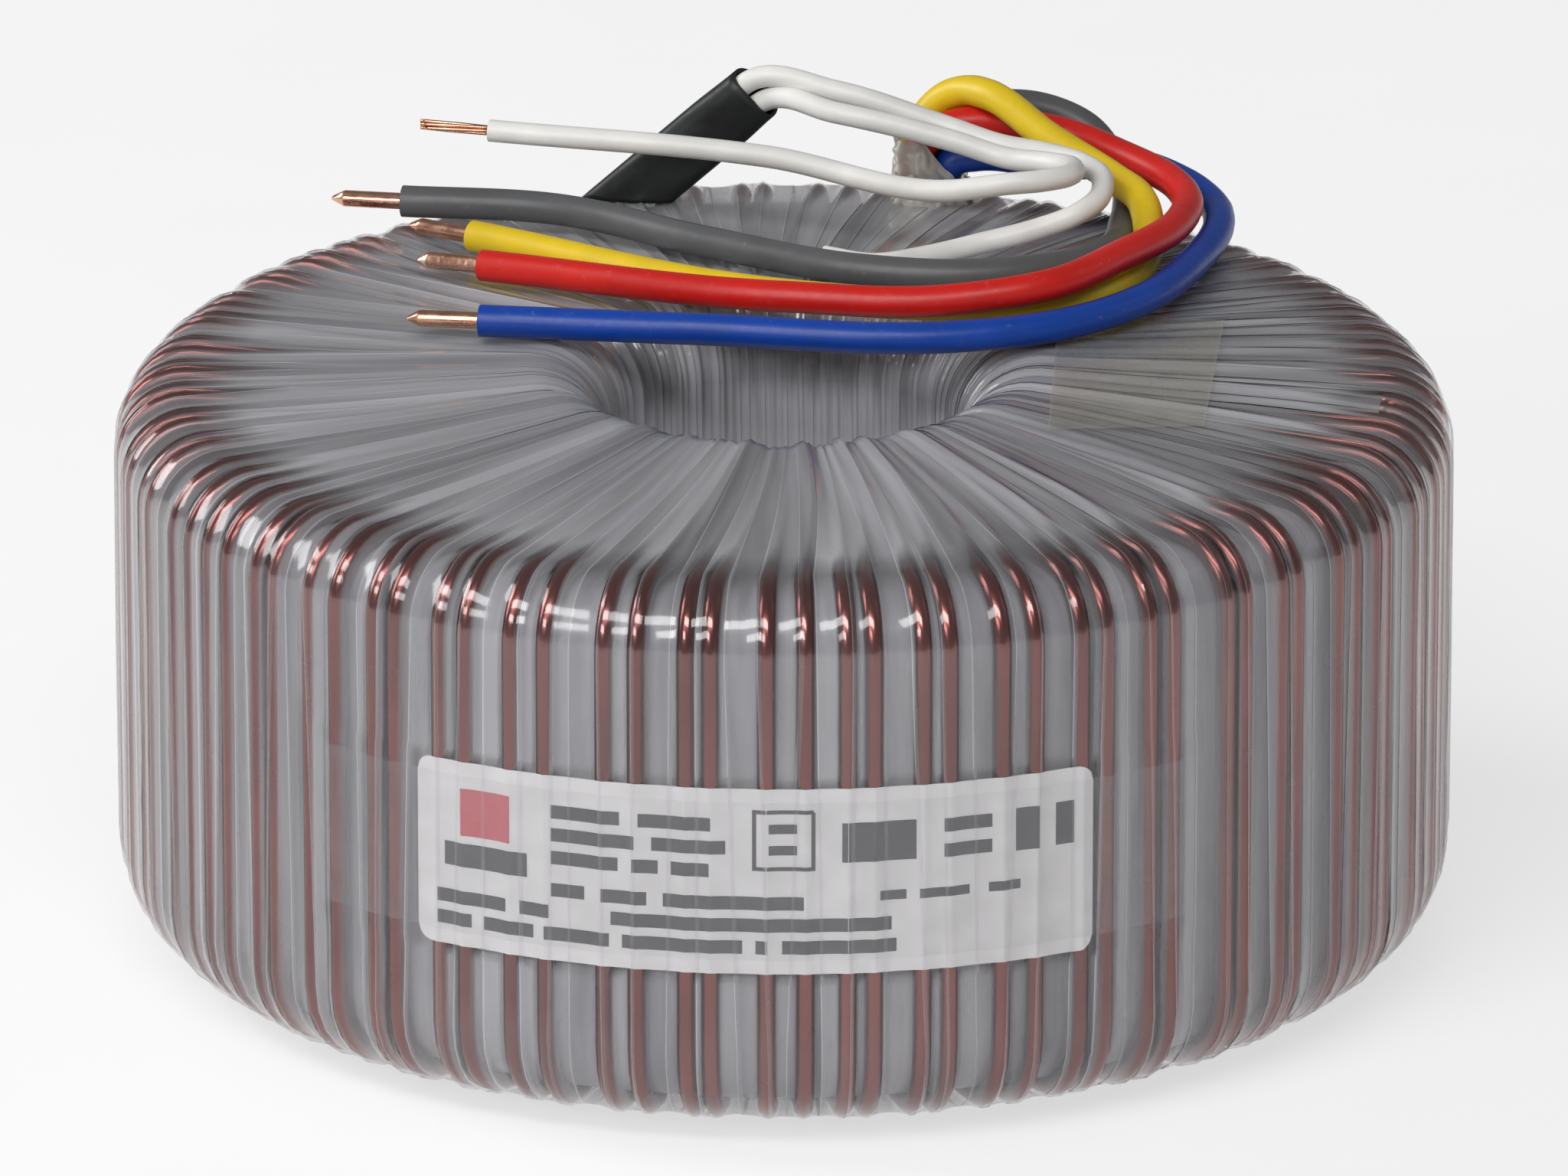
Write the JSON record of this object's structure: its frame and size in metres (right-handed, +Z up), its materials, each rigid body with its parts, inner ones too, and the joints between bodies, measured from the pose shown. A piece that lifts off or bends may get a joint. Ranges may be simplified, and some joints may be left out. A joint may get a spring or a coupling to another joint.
{
  "type": "toroidal transformer",
  "caption": "Film-wrapped toroidal mains transformer with coloured flying leads and a centre hole for its clamping bolt.",
  "frame": {"origin": "on the axis of the centre hole, in the plane that the transformer stands on", "axes": "+Z up the axis of the centre hole, +Y towards the side where the leads leave the film"},
  "size_m": [0.165, 0.165, 0.0906],
  "materials": {
    "core_steel": "oiled strip edge",
    "inner_film": "wound polyester film",
    "winding_copper": "enamelled copper wire",
    "outer_film": "clear glossy polyester film",
    "label_paper": "coated paper",
    "clear_tape": "clear adhesive tape",
    "black_sleeve": "matt sleeving",
    "white_insulation": "satin wire insulation",
    "red_sleeve": "satin sleeving",
    "yellow_sleeve": "satin sleeving",
    "blue_sleeve": "satin sleeving",
    "grey_sleeve": "satin sleeving",
    "bare_copper": "bright scraped copper"
  },
  "bodies": {
    "root": {"core": "core_steel", "core_film": "inner_film", "primary_winding": "winding_copper", "between_film": "inner_film", "secondary_winding_a": "winding_copper", "secondary_winding_b": "winding_copper", "outer_film": "outer_film", "label": "label_paper", "label_tape": "clear_tape", "tape_patch": "clear_tape", "primary_sleeve": "black_sleeve", "lead_wrap": "clear_tape", "lead_white_a": "white_insulation", "lead_white_b": "white_insulation", "lead_red": "red_sleeve", "lead_yellow": "yellow_sleeve", "lead_blue": "blue_sleeve", "lead_grey": "grey_sleeve", "bare_white_a": "bare_copper", "bare_white_b": "bare_copper", "bare_red": "bare_copper", "bare_yellow": "bare_copper", "bare_blue": "bare_copper", "bare_grey": "bare_copper"}
  },
  "joints": []
}
